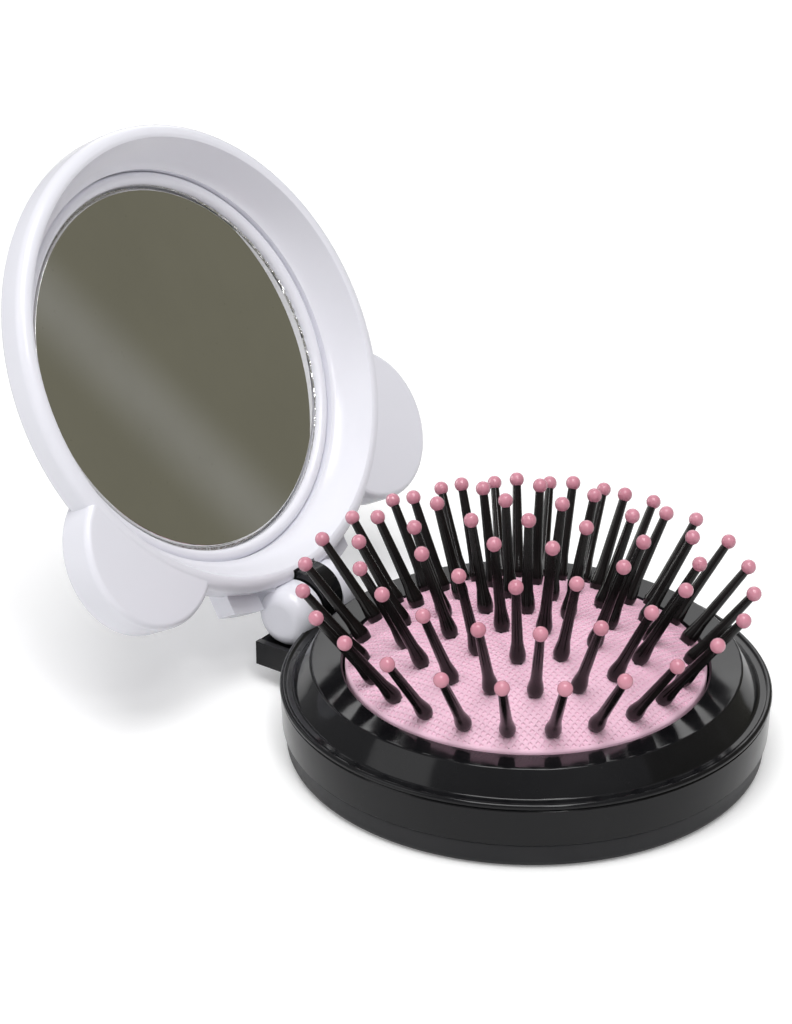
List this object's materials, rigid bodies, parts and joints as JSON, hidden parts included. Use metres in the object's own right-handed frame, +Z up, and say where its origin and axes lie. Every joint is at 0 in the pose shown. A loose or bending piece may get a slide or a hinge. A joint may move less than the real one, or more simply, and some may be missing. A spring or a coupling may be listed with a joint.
{
  "type": "folding hairbrush with mirror",
  "caption": "Round folding hairbrush: a low base with a domed pad of ball-tipped pins, and a hinged lid with two round lobes that holds a mirror.",
  "frame": {"origin": "centre of the base's underside, on the surface that the brush stands on", "axes": "+Z up, +Y from the base's centre towards the lid's hinge, +X along the hinge to the right of someone who looks along +Y"},
  "size_m": [0.0728, 0.1095, 0.0733],
  "materials": {
    "black_gloss": "gloss",
    "black_satin": "satin",
    "pad_pink": "fine embossed grid",
    "pin_black": "satin",
    "tip_pink": "gloss",
    "lid_white": "gloss",
    "mirror_silver": "polished",
    "foil_silver": "bright",
    "pin_steel": "plain"
  },
  "bodies": {
    "base": {"base_shell": "black_gloss", "base_cover": "black_satin", "hinge_pin": "pin_steel"},
    "bristle_pad": {"pad_sheet": "pad_pink", "pin_plate": "black_satin", "push_button": "black_satin", "pins_centre": "pin_black", "pins_ring_1": "pin_black", "pins_ring_2": "pin_black", "pins_ring_3": "pin_black", "pins_ring_4": "pin_black", "tips_centre": "tip_pink", "tips_ring_1": "tip_pink", "tips_ring_2": "tip_pink", "tips_ring_3": "tip_pink", "tips_ring_4": "tip_pink"},
    "lid": {"lid_frame": "lid_white", "lid_back": "lid_white", "mirror_bead": "lid_white", "mirror_glass": "mirror_silver", "mirror_foil": "foil_silver"}
  },
  "joints": [
    {"name": "lid_hinge", "type": "hinge", "parent": "base", "child": "lid", "pos_m": [0, 0.0368, 0.01135], "axis": [1, 0, 0], "range_deg": [0, 119]},
    {"name": "pad_pop", "type": "slide", "parent": "base", "child": "bristle_pad", "axis": [0, 0, 1], "range_m": [-0.0064, 0], "deforming": ["pins_centre", "tips_centre", "pins_ring_1", "tips_ring_1", "pins_ring_2", "tips_ring_2", "pins_ring_3", "tips_ring_3", "pins_ring_4", "tips_ring_4"]}
  ],
  "couplings": [
    {"joint": "pad_pop", "follows": "lid_hinge", "m_per_rad": -0.0030815}
  ]
}
